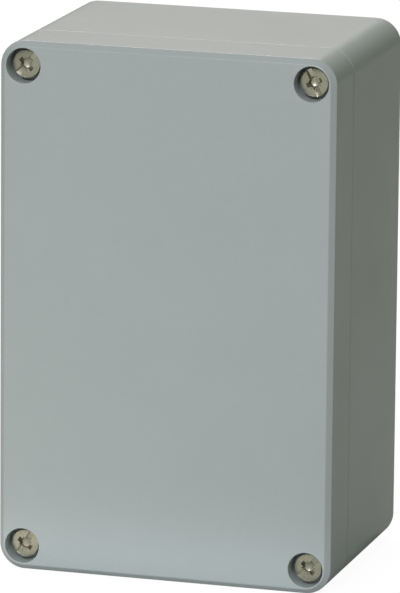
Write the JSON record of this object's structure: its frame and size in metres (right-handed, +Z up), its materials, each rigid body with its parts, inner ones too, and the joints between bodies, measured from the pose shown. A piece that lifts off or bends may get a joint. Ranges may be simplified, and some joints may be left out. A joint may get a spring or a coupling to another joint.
{
  "type": "die cast enclosure",
  "caption": "Upright die cast aluminium box with a screwed, gasketed cover, painted grey, with wall-fixing holes and inner bosses.",
  "frame": {"origin": "middle of the lower end, on the plane the box stands on", "axes": "+Z up along the box's length, -Y out of the cover's face, +X to the right as seen from the front"},
  "size_m": [0.08, 0.057, 0.125],
  "materials": {
    "painted_casting": "satin",
    "seal": "matte",
    "screw_steel": "satin",
    "washer_nylon": "satin",
    "washer_steel": "satin"
  },
  "bodies": {
    "base": {"base": "painted_casting", "base_earth_screw": "screw_steel", "base_earth_spring_washer": "washer_steel", "base_earth_cup_washer": "washer_steel"},
    "cover": {"cover": "painted_casting", "gasket": "seal", "cover_earth_screw": "screw_steel", "cover_earth_spring_washer": "washer_steel", "cover_earth_cup_washer": "washer_steel"},
    "retainer_top_left": {"retaining_washer_top_left": "washer_nylon"},
    "retainer_top_right": {"retaining_washer_top_right": "washer_nylon"},
    "retainer_bottom_left": {"retaining_washer_bottom_left": "washer_nylon"},
    "retainer_bottom_right": {"retaining_washer_bottom_right": "washer_nylon"},
    "screw_top_left": {"cover_screw_top_left": "screw_steel"},
    "screw_top_right": {"cover_screw_top_right": "screw_steel"},
    "screw_bottom_left": {"cover_screw_bottom_left": "screw_steel"},
    "screw_bottom_right": {"cover_screw_bottom_right": "screw_steel"}
  },
  "joints": [
    {"name": "cover_lift", "type": "slide", "parent": "base", "child": "cover", "axis": [0, -1, 0], "range_m": [0, 0.08]},
    {"name": "retainer_top_left_slide", "type": "slide", "parent": "cover", "child": "retainer_top_left", "axis": [0, -1, 0], "range_m": [0, 0.007]},
    {"name": "retainer_top_right_slide", "type": "slide", "parent": "cover", "child": "retainer_top_right", "axis": [0, -1, 0], "range_m": [0, 0.007]},
    {"name": "retainer_bottom_left_slide", "type": "slide", "parent": "cover", "child": "retainer_bottom_left", "axis": [0, -1, 0], "range_m": [0, 0.007]},
    {"name": "retainer_bottom_right_slide", "type": "slide", "parent": "cover", "child": "retainer_bottom_right", "axis": [0, -1, 0], "range_m": [0, 0.007]},
    {"name": "screw_top_left_turn", "type": "hinge", "parent": "retainer_top_left", "child": "screw_top_left", "pos_m": [-0.03425, -0.0285, 0.11925], "axis": [0, -1, 0], "range_deg": [0, 3600]},
    {"name": "screw_top_right_turn", "type": "hinge", "parent": "retainer_top_right", "child": "screw_top_right", "pos_m": [0.03425, -0.0285, 0.11925], "axis": [0, -1, 0], "range_deg": [0, 3600]},
    {"name": "screw_bottom_left_turn", "type": "hinge", "parent": "retainer_bottom_left", "child": "screw_bottom_left", "pos_m": [-0.03425, -0.0285, 0.00575], "axis": [0, -1, 0], "range_deg": [0, 3600]},
    {"name": "screw_bottom_right_turn", "type": "hinge", "parent": "retainer_bottom_right", "child": "screw_bottom_right", "pos_m": [0.03425, -0.0285, 0.00575], "axis": [0, -1, 0], "range_deg": [0, 3600]}
  ],
  "couplings": [
    {"joint": "screw_top_left_turn", "follows": "retainer_top_left_slide", "rad_per_m": 8976},
    {"joint": "screw_top_right_turn", "follows": "retainer_top_right_slide", "rad_per_m": 8976},
    {"joint": "screw_bottom_left_turn", "follows": "retainer_bottom_left_slide", "rad_per_m": 8976},
    {"joint": "screw_bottom_right_turn", "follows": "retainer_bottom_right_slide", "rad_per_m": 8976}
  ]
}
